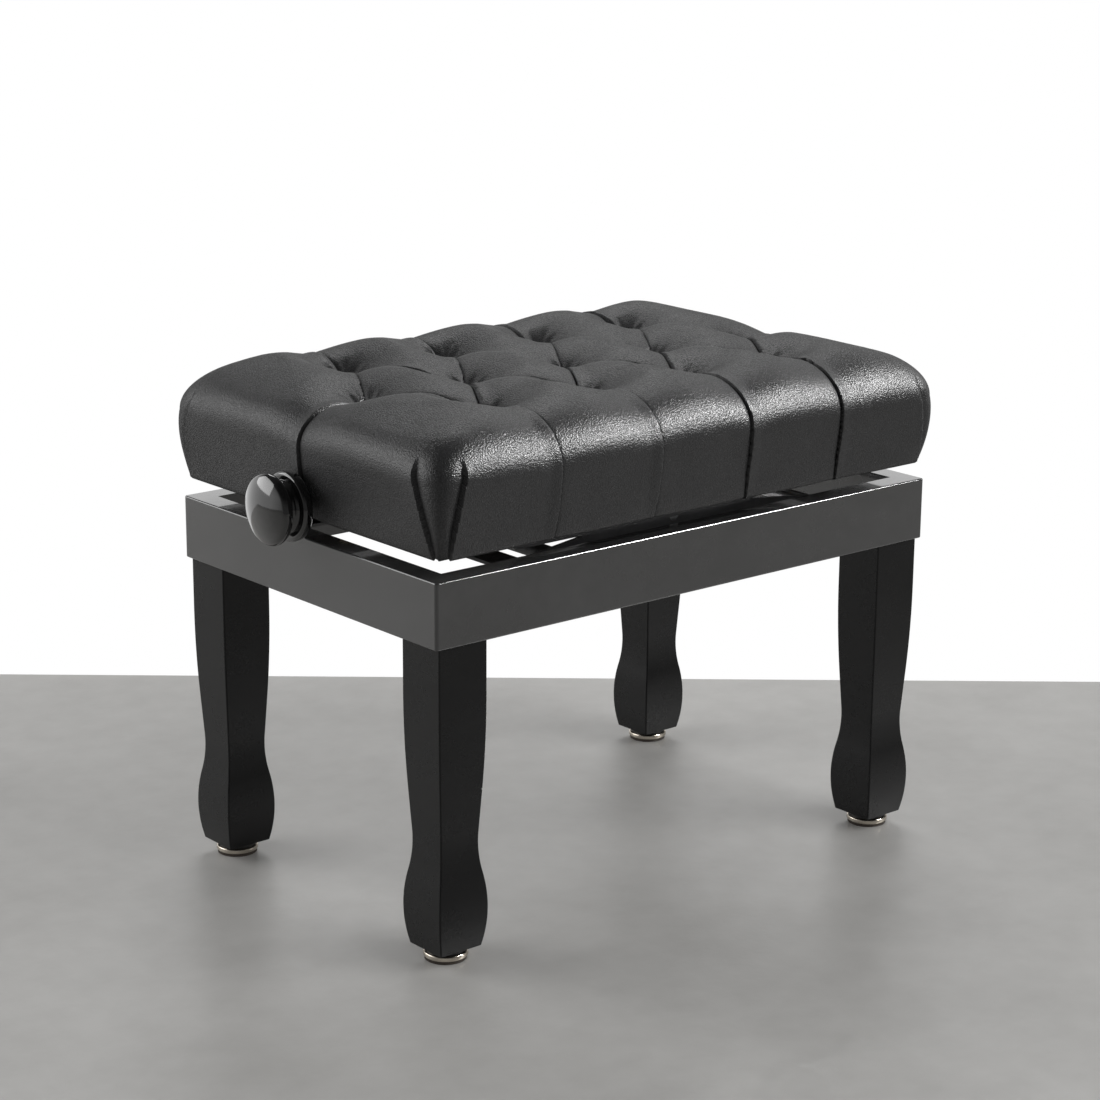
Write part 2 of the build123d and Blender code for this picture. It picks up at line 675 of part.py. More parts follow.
def cushion_form(inset):
    """The tufted cushion, drawn in by inset all round.

    Sections across the seat follow one another along it. Sections at the end and middle tufts have a tuft
    on the middle line, and those between have tufts on the front and back rows with a pleat to the edge.
    """
    hem_half = hem_width / 2 - inset
    bulge_half = bulge_width / 2 - inset
    z_under = z_hem + inset
    z_top = z_crest - inset
    z_down = z_tuft - inset
    end_x = bulge_length / 2 + corner_margin
    past_tuft_x = (tuft_columns - 1) / 2 * tuft_pitch + past_tuft
    stations = [(sign * x, "end") for sign in (-1, 1) for x in (past_tuft_x, end_x)]
    stations += [(x, "middle" if y == 0 else "rows") for x, y in tuft_places if y <= 0]
    with BuildPart() as form:
        for x, kind in sorted(stations):
            rows = kind == "rows"
            middle_drop = {"end": end_pleat_drop, "middle": tuft_depth, "rows": crown_drop}[kind]
            shoulder_top = z_top - (pleat_drop if rows else 0)
            with BuildSketch(end_plane(x)):
                with BuildLine():
                    under = Line((0, z_under), (hem_half, z_under))
                    widest = bulge_half - (pleat_draw if rows else 0)
                    TangentArc((widest, z_bulge), under @ 1, tangent=(0, -1))
                    shoulder = EllipticalCenterArc(
                        (shoulder_y, z_bulge), widest - shoulder_y, shoulder_top - z_bulge, arc_size=90
                    )
                    middle = (0, z_top - middle_drop)
                    if rows:
                        inner = Line(shoulder @ 1, (tuft_row_y, z_down))
                        TangentArc(middle, inner @ 1, tangent=(1, -crown_ridge))
                    else:
                        inner = TangentArc(shoulder @ 1, (tuft_row_y, z_top - crown_drop), tangent=(-1, 0))
                        TangentArc(inner @ 1, middle, tangent=inner % 1)
                    mirror(about=Plane.YZ)
                make_face()
        loft()
        with BuildSketch(side_plane(1, bulge_width, -bulge_width)):
            with BuildLine():
                under = Line((0, z_under), (hem_length / 2 - inset, z_under))
                widest = bulge_length / 2 - inset
                TangentArc((widest, z_bulge), under @ 1, tangent=(0, -1))
                z_over = z_top + end_shoulder_above
                shoulder = EllipticalCenterArc(
                    (shoulder_x, z_bulge), widest - shoulder_x, z_over - z_bulge, arc_size=90
                )
                Line(shoulder @ 1, (0, z_over))
                mirror(about=Plane.YZ)
            make_face()
        extrude(amount=2 * bulge_width, mode=Mode.INTERSECT)
        with BuildSketch(Plane.XY.offset(z_under)):
            outward = 2 * (corner_margin - inset)
            RectangleRounded(bulge_length + outward, bulge_width + outward, corner_radius - inset)
        extrude(amount=2 * cushion_height, mode=Mode.INTERSECT)
    return form.part


outside = cushion_form(0)
inside = cushion_form(leather_thick)
stuffing = cushion_form(leather_thick + soft_gap)

# Leather cover, turned in under the skirt and open in the middle of its underside
with BuildPart() as leather_cover:
    add(outside)
    add(inside, mode=Mode.SUBTRACT)
    with BuildSketch(Plane.XY.offset(z_hem)):
        RectangleRounded(2 * (skirt_half_x - hem_turn), 2 * (skirt_half_y - hem_turn), skirt_corner_round)
    extrude(amount=leather_thick, mode=Mode.SUBTRACT)
    with BuildSketch(end_plane(0)):
        with Locations((0, z_screw)):
            Circle(bush_radius + shaft_hole_margin)
    extrude(amount=bulge_length, both=True, mode=Mode.SUBTRACT)
write(leather_cover, "leather_cover")

# Foam over the board and down its edges
with BuildPart() as foam_core:
    add(stuffing)
    with BuildSketch(Plane.XY.offset(z_hem)):
        Rectangle(2 * bulge_length, 2 * bulge_width)
    extrude(amount=z_board - z_hem, mode=Mode.SUBTRACT)
    with BuildSketch(Plane.XY.offset(z_board)):
        RectangleRounded(2 * skirt_half_x, 2 * skirt_half_y, skirt_corner_round)
    extrude(amount=board_thick, mode=Mode.SUBTRACT)
    with BuildSketch(Plane.XY.offset(z_board)):
        with Locations(*tuft_places):
            Circle(tie_radius + fit)
    extrude(amount=cushion_height, mode=Mode.SUBTRACT)
write(foam_core, "foam_core")

with BuildPart() as tuft_ties:
    with BuildSketch(Plane.XY.offset(z_board)):
        with Locations(*tuft_places):
            Circle(tie_radius)
    extrude(amount=z_tuft - leather_thick - tie_short - z_board)
    with BuildSketch(Plane.XY.offset(z_board)):
        with Locations(*tuft_places):
            Circle(tie_button_radius)
    extrude(amount=-tie_button_thick)
write(tuft_ties, "tuft_ties")
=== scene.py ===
import json
import math

import bpy
import numpy as np
from mathutils import Matrix, Vector


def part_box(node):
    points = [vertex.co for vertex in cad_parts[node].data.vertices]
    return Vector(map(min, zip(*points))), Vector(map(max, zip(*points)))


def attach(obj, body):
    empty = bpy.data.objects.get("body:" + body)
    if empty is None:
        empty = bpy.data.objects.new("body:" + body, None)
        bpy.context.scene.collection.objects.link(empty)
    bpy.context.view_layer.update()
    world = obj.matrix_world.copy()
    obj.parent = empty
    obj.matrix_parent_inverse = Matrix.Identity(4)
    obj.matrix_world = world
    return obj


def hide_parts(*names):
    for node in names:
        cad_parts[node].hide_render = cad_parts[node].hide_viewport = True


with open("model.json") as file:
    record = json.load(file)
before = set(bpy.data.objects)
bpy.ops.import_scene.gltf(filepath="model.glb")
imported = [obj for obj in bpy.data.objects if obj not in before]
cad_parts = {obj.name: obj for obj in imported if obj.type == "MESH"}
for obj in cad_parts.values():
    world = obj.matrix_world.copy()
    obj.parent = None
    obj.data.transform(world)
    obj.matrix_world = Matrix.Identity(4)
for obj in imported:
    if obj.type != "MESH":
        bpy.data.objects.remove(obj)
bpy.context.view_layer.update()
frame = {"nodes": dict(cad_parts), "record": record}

mm = 0.001
tiny = 1e-9                                       # keeps divisions away from zero
touching = 1e-6                                   # lengths nearer than this are the same
nodes = frame["nodes"]
slotOfNode = {part["node"]: part["material_slot"] for part in frame["record"]["subparts"]}
print("frame loaded:", len(nodes), "nodes")


# Meshes from whole arrays

def addMesh(name, points, faces, material, smooth=True):
    # a mesh object at the origin, from an array of points in metres and lists of point numbers
    mesh = bpy.data.meshes.new(name)
    mesh.from_pydata(points.tolist(), [], faces)
    mesh.update()
    mesh.polygons.foreach_set("use_smooth", np.full(len(mesh.polygons), smooth))
    piece = bpy.data.objects.new(name, mesh)
    bpy.context.scene.collection.objects.link(piece)
    mesh.materials.append(material)
    return piece


def gridFaces(rows, columns, closed=False):
    # quads of a grid of rows x columns points; closed joins the last column to the first
    across = np.arange(columns if closed else columns - 1)
    r, c = np.meshgrid(np.arange(rows - 1), across, indexing="ij")
    nextC = (c + 1) % columns
    here, below = r * columns, (r + 1) * columns
    return np.stack([here + c, here + nextC, below + nextC, below + c], -1).reshape(-1, 4).tolist()


# Shader groups shared by the materials

def newGroup(name, inputs, outputs):
    # an empty shader group with its named sockets, and its two end nodes
    group = bpy.data.node_groups.new(name, "ShaderNodeTree")
    for label, kind, value in inputs:
        socket = group.interface.new_socket(name=label, in_out="INPUT", socket_type=kind)
        if value is not None:
            socket.default_value = value
    for label, kind in outputs:
        group.interface.new_socket(name=label, in_out="OUTPUT", socket_type=kind)
    return group, group.nodes.new("NodeGroupInput"), group.nodes.new("NodeGroupOutput")


def addNode(tree, kind, settings=None, **values):
    # a node with its settings and the values of its sockets
    node = tree.nodes.new(kind)
    for label, value in (settings or {}).items():
        setattr(node, label, value)
    for label, value in values.items():
        node.inputs[label].default_value = value
    return node


def mathNode(tree, operation, first, second, clamp=False):
    # one sum of two values, each a number or the socket of another node
    node = addNode(tree, "ShaderNodeMath", {"operation": operation, "use_clamp": clamp})
    for socket, value in zip(node.inputs, (first, second)):
        if isinstance(value, bpy.types.NodeSocket):
            tree.links.new(value, socket)
        else:
            socket.default_value = value
    return node.outputs[0]


def mottleGroup():
    # cloudy noise of two sizes, spread between a low and a high value
    group, source, sink = newGroup(
        "mottle",
        [("Vector", "NodeSocketVector", None), ("Scale", "NodeSocketFloat", 40.0),
         ("Low", "NodeSocketFloat", 0.0), ("High", "NodeSocketFloat", 1.0)],
        [("Value", "NodeSocketFloat")])
    large = addNode(group, "ShaderNodeTexNoise", Detail=3.0)
    fine = addNode(group, "ShaderNodeTexNoise", Detail=2.0)
    group.links.new(source.outputs["Vector"], large.inputs["Vector"])
    group.links.new(source.outputs["Vector"], fine.inputs["Vector"])
    group.links.new(source.outputs["Scale"], large.inputs["Scale"])
    group.links.new(mathNode(group, "MULTIPLY", source.outputs["Scale"], 6.3), fine.inputs["Scale"])
    mixed = mathNode(group, "ADD", mathNode(group, "MULTIPLY", large.outputs["Fac"], 0.65),
                     mathNode(group, "MULTIPLY", fine.outputs["Fac"], 0.35))
    spread = addNode(group, "ShaderNodeMapRange", **{"From Min": 0.32, "From Max": 0.68})
    group.links.new(mixed, spread.inputs["Value"])
    group.links.new(source.outputs["Low"], spread.inputs["To Min"])
    group.links.new(source.outputs["High"], spread.inputs["To Max"])
    group.links.new(spread.outputs["Result"], sink.inputs["Value"])
    return group


def pebbleGroup():
    # leather grain: rounded cells of two sizes, each lower towards its border
    group, source, sink = newGroup(
        "pebble",
        [("Vector", "NodeSocketVector", None), ("Scale", "NodeSocketFloat", 700.0)],
        [("Height", "NodeSocketFloat"), ("Crease", "NodeSocketFloat")])
    warp = addNode(group, "ShaderNodeTexNoise", Scale=220.0, Detail=2.0)
    group.links.new(source.outputs["Vector"], warp.inputs["Vector"])
    shift = addNode(group, "ShaderNodeVectorMath", {"operation": "SCALE"}, Scale=0.0011)
    group.links.new(warp.outputs["Color"], shift.inputs[0])
    bent = addNode(group, "ShaderNodeVectorMath", {"operation": "ADD"})
    group.links.new(source.outputs["Vector"], bent.inputs[0])
    group.links.new(shift.outputs[0], bent.inputs[1])
    heights = []
    for factor in (1.0, 2.1):
        cells = addNode(group, "ShaderNodeTexVoronoi", {"feature": "SMOOTH_F1"}, Smoothness=0.45)
        group.links.new(bent.outputs[0], cells.inputs["Vector"])
        group.links.new(mathNode(group, "MULTIPLY", source.outputs["Scale"], factor), cells.inputs["Scale"])
        heights.append(mathNode(group, "SUBTRACT", 1.0, cells.outputs["Distance"]))
    height = mathNode(group, "ADD", mathNode(group, "MULTIPLY", heights[0], 0.7),
                      mathNode(group, "MULTIPLY", heights[1], 0.3))
    group.links.new(height, sink.inputs["Height"])
    crease = addNode(group, "ShaderNodeMapRange", **{"From Min": 0.62, "From Max": 0.42})
    group.links.new(height, crease.inputs["Value"])
    group.links.new(crease.outputs["Result"], sink.inputs["Crease"])
    return group


def streakGroup():
    # fine lines drawn out along one axis: brushed metal, or wood grain when the lines are coarse
    group, source, sink = newGroup(
        "streak",
        [("Vector", "NodeSocketVector", None), ("Stretch", "NodeSocketVector", (20.0, 900.0, 900.0))],
        [("Value", "NodeSocketFloat")])
    drawn = addNode(group, "ShaderNodeVectorMath", {"operation": "MULTIPLY"})
    group.links.new(source.outputs["Vector"], drawn.inputs[0])
    group.links.new(source.outputs["Stretch"], drawn.inputs[1])
    lines = addNode(group, "ShaderNodeTexNoise", Scale=1.0, Detail=5.0, Roughness=0.65)
    group.links.new(drawn.outputs[0], lines.inputs["Vector"])
    group.links.new(lines.outputs["Fac"], sink.inputs["Value"])
    return group


groups = {"mottle": mottleGroup(), "pebble": pebbleGroup(), "streak": streakGroup()}


# Materials

def newMaterial(name):
    # a material, its node tree, its shader and the coordinates of the piece
    material = bpy.data.materials.new(name)
    material.use_nodes = True
    tree = material.node_tree
    shader = tree.nodes["Principled BSDF"]
    place = addNode(tree, "ShaderNodeTexCoord").outputs["Object"]
    return material, tree, shader, place


def useGroup(tree, name, place, **values):
    # a shared group placed in a material, with values of its own
    node = addNode(tree, "ShaderNodeGroup", {"node_tree": groups[name]})
    tree.links.new(place, node.inputs["Vector"])
    for label, value in values.items():
        node.inputs[label].default_value = value
    return node


def mixColours(tree, amount, first, second):
    # a colour between two, by an amount that changes over the surface
    node = addNode(tree, "ShaderNodeMix", {"data_type": "RGBA"})
    tree.links.new(amount, node.inputs["Factor"])
    node.inputs["A"].default_value = (*first, 1.0)
    node.inputs["B"].default_value = (*second, 1.0)
    return node.outputs["Result"]


def addBump(tree, shader, height, strength, distance):
    # fine relief, deep by the distance in metres
    bump = addNode(tree, "ShaderNodeBump", Strength=strength, Distance=distance)
    tree.links.new(height, bump.inputs["Height"])
    tree.links.new(bump.outputs["Normal"], shader.inputs["Normal"])


def addBase(tree, shader, amount, first, second):
    # base colour between two colours
    tree.links.new(mixColours(tree, amount, first, second), shader.inputs["Base Color"])


def addClouds(tree, shader, place, scale, low, high):
    # roughness in clouds between a low and a high value
    rough = useGroup(tree, "mottle", place, Scale=scale, Low=low, High=high)
    tree.links.new(rough.outputs["Value"], shader.inputs["Roughness"])


def blackLacquer(name, base, haze, coat, level=0.5):
    # polished black: clear coat over a dark ground, with faint haze and polishing waves; level is how strongly
    # the ground itself reflects
    material, tree, shader, place = newMaterial(name)
    shader.inputs["Specular IOR Level"].default_value = level
    shader.inputs["Coat Weight"].default_value = coat
    shader.inputs["Coat Roughness"].default_value = 0.03
    tone = useGroup(tree, "mottle", place, Scale=9.0)
    addBase(tree, shader, tone.outputs["Value"], base, [1.5 * c for c in base])
    addClouds(tree, shader, place, 26.0, haze, 1.6 * haze)
    waves = useGroup(tree, "mottle", place, Scale=22.0)
    addBump(tree, shader, waves.outputs["Value"], 0.05, 0.0006)
    return material


def grainedLeather():
    # charcoal leather: pebbled grain, with painted shade darkening its creases, duller in the creases and duller
    # at flat angles
    material, tree, shader, place = newMaterial("grainedLeather")
    pebble = useGroup(tree, "pebble", place, Scale=780.0)
    tone = useGroup(tree, "mottle", place, Scale=18.0)
    ground = mixColours(tree, tone.outputs["Value"], (0.024, 0.024, 0.025), (0.032, 0.032, 0.033))
    # painted shade: the base colour goes darker in the grain's creases
    darker = addNode(tree, "ShaderNodeMix", {"data_type": "RGBA"})
    tree.links.new(pebble.outputs["Crease"], darker.inputs["Factor"])
    tree.links.new(ground, darker.inputs["A"])
    darker.inputs["B"].default_value = (0.013, 0.013, 0.0135, 1.0)
    tree.links.new(darker.outputs["Result"], shader.inputs["Base Color"])
    rough = useGroup(tree, "mottle", place, Scale=60.0, Low=0.23, High=0.3)
    inCrease = mathNode(tree, "MULTIPLY", pebble.outputs["Crease"], 0.15)
    dull = mathNode(tree, "ADD", rough.outputs["Value"], inCrease)
    slant = addNode(tree, "ShaderNodeMapRange", **{"From Min": 0.38, "From Max": 0.8, "To Max": 0.4})
    tree.links.new(addNode(tree, "ShaderNodeLayerWeight").outputs["Facing"], slant.inputs["Value"])
    tree.links.new(mathNode(tree, "ADD", dull, slant.outputs["Result"], clamp=True),
                   shader.inputs["Roughness"])
    addBump(tree, shader, pebble.outputs["Height"], 0.65, 0.0007)
    return material


def brushedMetal(name, colour, dark, low, high, stretch):
    # metal with fine drawn lines in its colour and gloss
    material, tree, shader, place = newMaterial(name)
    shader.inputs["Metallic"].default_value = 1.0
    lines = useGroup(tree, "streak", place, Stretch=stretch)
    addBase(tree, shader, lines.outputs["Value"], dark, colour)
    spread = addNode(tree, "ShaderNodeMapRange",
                     **{"From Min": 0.3, "From Max": 0.7, "To Min": high, "To Max": low})
    tree.links.new(lines.outputs["Value"], spread.inputs["Value"])
    tree.links.new(spread.outputs["Result"], shader.inputs["Roughness"])
    addBump(tree, shader, lines.outputs["Value"], 0.06, 0.0002)
    return material


def coatedSteel():
    # powder coated steel: a fine orange peel over dark grey
    material, tree, shader, place = newMaterial("coatedSteel")
    tone = useGroup(tree, "mottle", place, Scale=35.0)
    addBase(tree, shader, tone.outputs["Value"], (0.045, 0.045, 0.046), (0.065, 0.065, 0.067))
    addClouds(tree, shader, place, 90.0, 0.3, 0.42)
    peel = useGroup(tree, "mottle", place, Scale=420.0)
    addBump(tree, shader, peel.outputs["Value"], 0.15, 0.0003)
    return material


def woodFinish(name, light, dark, low, high, stretch):
    # long grain with darker lines
    material, tree, shader, place = newMaterial(name)
    grain = useGroup(tree, "streak", place, Stretch=stretch)
    contrast = addNode(tree, "ShaderNodeMapRange", **{"From Min": 0.35, "From Max": 0.65})
    tree.links.new(grain.outputs["Value"], contrast.inputs["Value"])
    addBase(tree, shader, contrast.outputs["Result"], dark, light)
    addClouds(tree, shader, place, 50.0, low, high)
    addBump(tree, shader, grain.outputs["Value"], 0.2, 0.0003)
    return material


def fibreFinish(name, light, dark, scale):
    # felt, foam and twine: matted fibres in light and dark
    material, tree, shader, place = newMaterial(name)
    fibres = useGroup(tree, "mottle", place, Scale=scale)
    addBase(tree, shader, fibres.outputs["Value"], dark, light)
    addClouds(tree, shader, place, scale / 4, 0.85, 0.98)
    addBump(tree, shader, fibres.outputs["Value"], 0.5, 0.0006)
    return material


def mouldedPlastic(name, base, low, high):
    # plastic with a faint moulded texture
    material, tree, shader, place = newMaterial(name)
    tone = useGroup(tree, "mottle", place, Scale=30.0)
    addBase(tree, shader, tone.outputs["Value"], base, [1.4 * c for c in base])
    addClouds(tree, shader, place, 70.0, low, high)
    texture = useGroup(tree, "mottle", place, Scale=500.0)
    addBump(tree, shader, texture.outputs["Value"], 0.1, 0.0002)
    return material


finishes = {
    "black_lacquer": blackLacquer("blackLacquer", (0.03, 0.03, 0.0302), 0.16, 1.0),
    "black_gloss": blackLacquer("knobLacquer", (0.006, 0.006, 0.006), 0.08, 1.0),
    "leather": grainedLeather(),
    "black_steel": coatedSteel(),
    "zinc_steel": brushedMetal("zincSteel", (0.62, 0.62, 0.63), (0.42, 0.42, 0.44), 0.25, 0.42,
                               (60.0, 60.0, 900.0)),
    "brass": brushedMetal("brass", (0.75, 0.58, 0.27), (0.55, 0.4, 0.17), 0.22, 0.4,
                          (900.0, 60.0, 900.0)),
    "nickel": brushedMetal("nickelPlate", (0.72, 0.66, 0.57), (0.6, 0.54, 0.46), 0.16, 0.28,
                           (40.0, 40.0, 1400.0)),
    "stained_wood": woodFinish("stainedWood", (0.035, 0.032, 0.03), (0.02, 0.018, 0.017), 0.4, 0.6,
                               (8.0, 200.0, 200.0)),
    "foam": fibreFinish("foam", (0.82, 0.76, 0.58), (0.7, 0.62, 0.42), 900.0),
    "twine": fibreFinish("twine", (0.6, 0.54, 0.42), (0.4, 0.34, 0.24), 1500.0),
    "felt": fibreFinish("felt", (0.08, 0.066, 0.055), (0.045, 0.036, 0.03), 1200.0),
    "black_plastic": mouldedPlastic("blackPlastic", (0.012, 0.012, 0.012), 0.35, 0.5),
}
shadedLegLacquer = blackLacquer("shadedLegLacquer", (0.004, 0.004, 0.0042), 0.2, 0.15, level=0.2)   # a darker, duller copy of the apron's lacquer: painted shade, for legs that look darker only by how light falls on them
for name, node in nodes.items():
    node.data.materials.clear()
    isLeg = name.startswith(("leg_front", "leg_back"))
    node.data.materials.append(shadedLegLacquer if isLeg else finishes[slotOfNode[name]])
print("materials made:", len(finishes))


# Tufted leather seat

coverLow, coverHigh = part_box("leather_cover")
cushion = {                                       # lengths in mm
    "halfLength": coverHigh.x / mm, "halfWidth": 198.0,   # at the widest line
    "crest": 470.0, "widest": 418.0,              # heights of the pads and of the widest line
    "hem": coverLow.z / mm, "hemRound": 4.0,
    "hemDraw": 9.5, "drawPower": 1.6,             # how far the hem is drawn in from the widest line, and how late
    "shoulderEnd": 97.0, "shoulderSide": 81.0,    # width of the sloping shoulder at the ends and sides
    "profilePoints": (400, 200, 60),              # along the shoulder, the side and the rounded hem
    "cornerTop": 6.6, "cornerHem": 15.0,          # sharpness of the corners at the widest line and hem
    "topShare": 0.52,                             # the top grid goes this far down the shoulder
    "cellsLong": 236, "cellsWide": 152, "cellsRim": 62,
    "gather": 0.74, "gatherReach": 8.0,           # draws grid lines in beside each pleat
    "turnUnder": 13.0, "leather": 2.4,            # leather turned in under the skirt, and its thickness
    "skirtGap": 1.3, "boardGap": 0.3,             # room round the skirt and over the board
    "columns": 5, "pitch": 110.5, "rowY": 100.0,  # places of the tufts
    "tuftDepth": 33.0, "pleatDepth": 13.0, "pleatPower": 1.7,   # pleats are deep at the tufts and shallow halfway
    "edgeDepth": 3.0, "edgeFade": 28.0, "pastHem": 400.0,       # pleats from the outer tufts down to the hem
    "padReach": 56.0, "padPower": 1.65, "padJoin": 0.35,        # how pads round off, and how crisply pleats meet
    "pinch": 4.0, "pinchReach": 9.0,              # the twine's pull at each tuft
    "lip": 2.2, "lipReach": 6.0, "crease": 4.0, "creaseReach": 2.6,   # folds: raised on one side, cut on the other
    "overhang": 3.0, "overhangReach": 4.0, "overhangSteep": 0.7,
    "foldFade": 16.0,                             # folds start this far from a tuft
    "hemFade": 26.0, "hemKeep": 0.3,              # folds flatten over this length above the hem, to this share
    "dartTop": 425.0,                             # height where the corner seams start
    "dartEnd": (36.0, 10.0), "dartSide": (31.0, 10.0),   # from the corner, at the top and at the hem
    "dartDepth": 4.6, "dartLip": 1.2, "dartReach": 5.0, "dartFade": 14.0,
    "wrinkle": 0.7, "wrinkleCount": 11, "wrinkleRing": (15.0, 9.0),   # fine folds in a ring round each tuft
    "wrinkleTurn": 1.7, "wrinkleSway": (0.6, 3),  # how the rings differ, and how uneven the folds are
    "pressure": -4.0,                             # cloth drawn in over its filling, in kPa
    "frames": 20, "quality": 5, "stretch": 25.0, "bend": 2.0,
    "held": 5.0, "swellCap": 3.0, "evened": 4,    # held beside the pleats; the most it moves; smoothing passes
}


def shoulderProfile(c):
    # share of the shoulder's width, drawing in, height and length along the profile, from the top to the hem:
    # a quarter ellipse, then a side that draws in faster towards the hem, then a quarter circle
    onShoulder, onSide, onHem = c["profilePoints"]
    t = np.linspace(0, np.pi / 2, onShoulder)
    w = np.linspace(0, 1, onSide)[1:]
    turn = np.linspace(0, np.pi / 2, onHem)[1:]
    low = c["hem"] + c["hemRound"]
    share = np.concatenate([np.sin(t), np.ones(len(w) + len(turn))])
    draw = np.concatenate([0 * t, c["hemDraw"] * w ** c["drawPower"],
                           c["hemDraw"] + c["hemRound"] * (1 - np.cos(turn))])
    up = np.concatenate([c["widest"] + (c["crest"] - c["widest"]) * np.cos(t),
                         c["widest"] + (low - c["widest"]) * w, low - c["hemRound"] * np.sin(turn)])
    out = share * (c["shoulderEnd"] + c["shoulderSide"]) / 2 - draw
    length = np.concatenate([[0], np.cumsum(np.hypot(np.diff(out), np.diff(up)))])
    return share, draw, up, out, length


def tuftPlaces(c):
    # x of the tufts in the middle row, and of those between them in the two outer rows
    middle = (np.arange(c["columns"]) - (c["columns"] - 1) / 2) * c["pitch"]
    rows = (np.arange(c["columns"] - 1) - (c["columns"] - 2) / 2) * c["pitch"]
    return middle, rows


def pleatLines(c, reachX, reachY):
    # start, end, kind (0 between tufts, 1 to the edge) and the side whose leather lies on top
    middle, rows = tuftPlaces(c)
    lines = []
    for sign in (-1, 1):
        for i, x in enumerate(rows):
            for m in (middle[i], middle[i + 1]):
                upper = sign if m < x else -sign
                lines.append(((m, 0), (x, sign * c["rowY"]), 0, upper))
            lines.append(((x, sign * c["rowY"]), (x, sign * reachY), 1, -1 if sign * x > 0 else 1))
        lines.append(((sign * middle[-1], 0), (sign * reachX, 0), 1, -1))
    start, end, kind, upper = zip(*lines)
    return np.array(start, float), np.array(end, float), np.array(kind), np.array(upper, float)


def fromLines(points, start, end):
    # along (0 to 1), distance and signed side of each point against each line: arrays of lines x points
    run = end - start
    length = np.linalg.norm(run, axis=1)
    rel = points[None] - start[:, None]
    along = np.clip((rel * run[:, None]).sum(-1) / (length ** 2)[:, None], 0, 1)
    offset = rel - along[..., None] * run[:, None]
    side = (run[:, None, 0] * rel[..., 1] - run[:, None, 1] * rel[..., 0]) / length[:, None]
    return along, np.linalg.norm(offset, axis=-1), side, offset, length


def gathered(c, values, line, amount=1.0):
    # values drawn in towards a line, by most of their distance within the reach and by nothing far off
    away = values - line
    return values - amount * c["gather"] * np.exp(-(away / c["gatherReach"]) ** 2) * away


def cornerSeams(c, up):
    # distance of the end's and the side's corner seam from the corner at each height
    share = np.clip((c["dartTop"] - up) / (c["dartTop"] - c["hem"]), 0, 1)
    return [top + (low - top) * share for top, low in (c["dartEnd"], c["dartSide"])]


